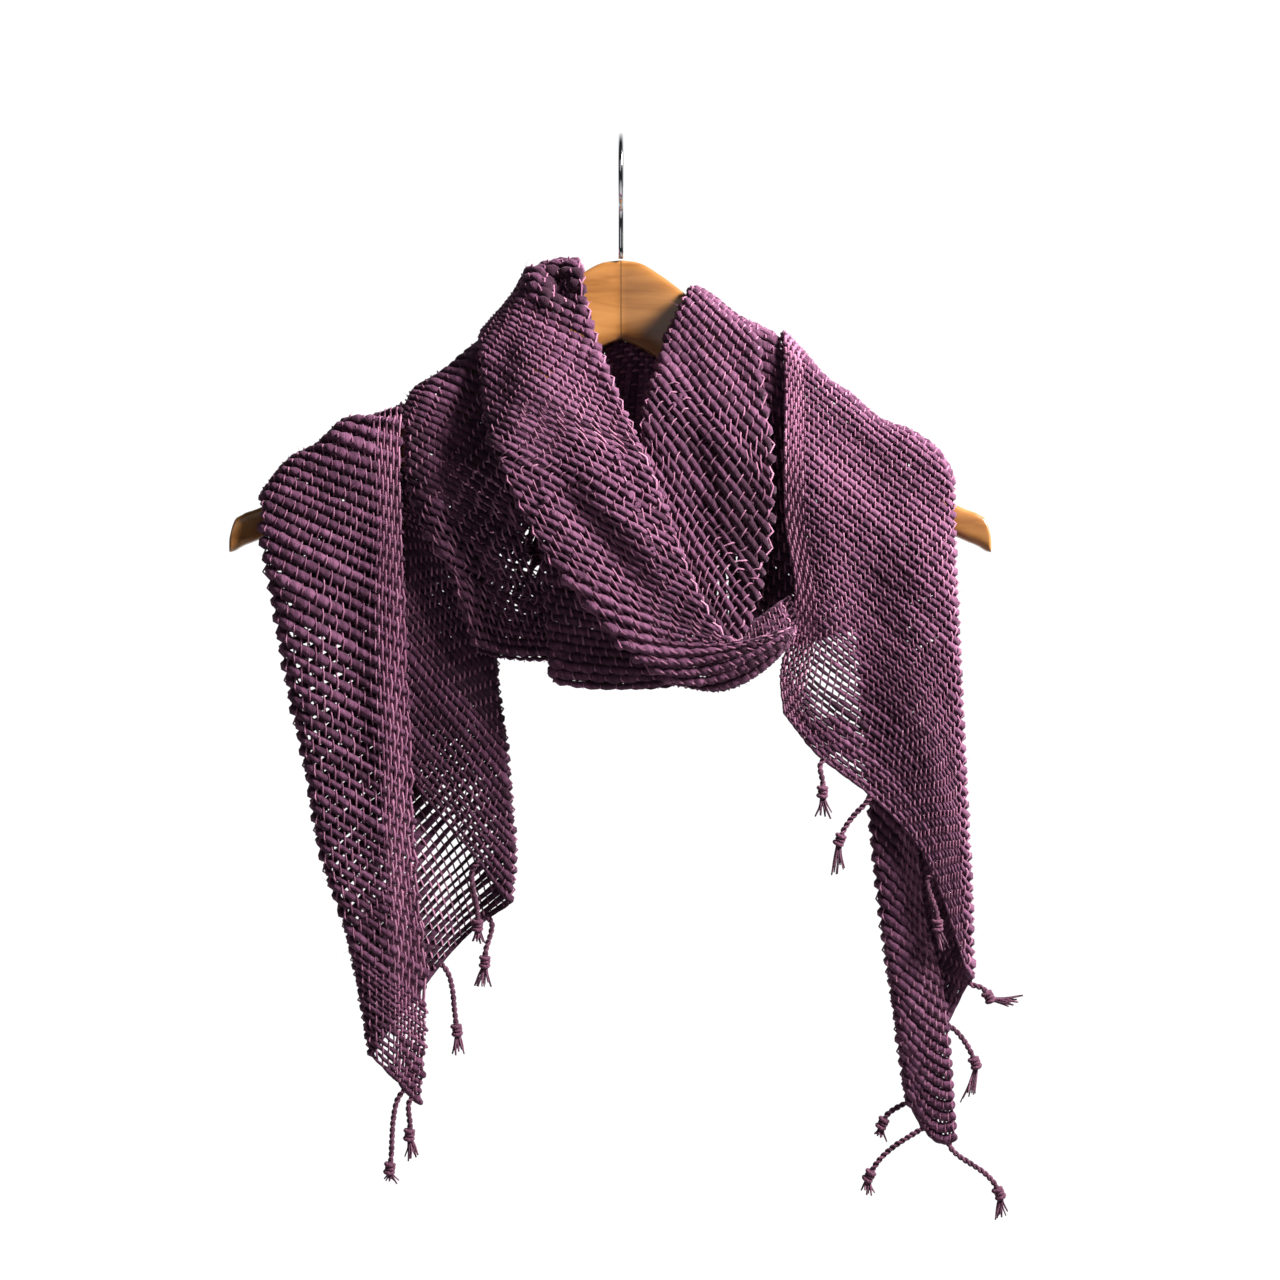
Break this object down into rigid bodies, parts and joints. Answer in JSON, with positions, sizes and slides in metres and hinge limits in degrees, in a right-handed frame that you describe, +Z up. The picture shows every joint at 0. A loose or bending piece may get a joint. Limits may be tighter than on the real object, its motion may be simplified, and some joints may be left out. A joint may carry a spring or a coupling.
{
  "type": "cotton scarf on wooden coat hanger",
  "caption": "Open-weave cotton scarf wound in a neck loop over a wooden coat hanger with a wire hook, its folded ends hanging from the arms with knotted cord tassels.",
  "frame": {"origin": "seat under the hook's crown, where it rests on a rod", "axes": "+Z up, +Y away from the viewer of the front, +X to that viewer's right"},
  "size_m": [0.4581, 0.0921, 0.6365],
  "materials": {
    "cloth": "hand-spun cotton weave, matt, aubergine weft over mauve warp",
    "tassel": "twisted and knotted cotton cord, matt",
    "wood": "clear satin lacquer",
    "chrome": "polished"
  },
  "bodies": {
    "root": {"left_tail": "cloth", "back_left": "cloth", "right_neck": "cloth", "neck_loop": "cloth", "left_drape": "cloth", "lower_drape": "cloth", "back_right": "cloth", "right_fold": "cloth", "right_tail": "cloth", "tassel_left_1": "tassel", "tassel_left_2": "tassel", "tassel_left_3": "tassel", "tassel_left_4": "tassel", "tassel_left_5": "tassel", "tassel_left_6": "tassel", "tassel_left_7": "tassel", "tassel_left_8": "tassel", "tassel_right_1": "tassel", "tassel_right_2": "tassel", "tassel_right_3": "tassel", "tassel_right_4": "tassel", "tassel_right_5": "tassel", "tassel_right_6": "tassel", "tassel_right_7": "tassel", "tassel_right_8": "tassel", "hanger": "wood", "hook": "chrome"}
  },
  "joints": []
}
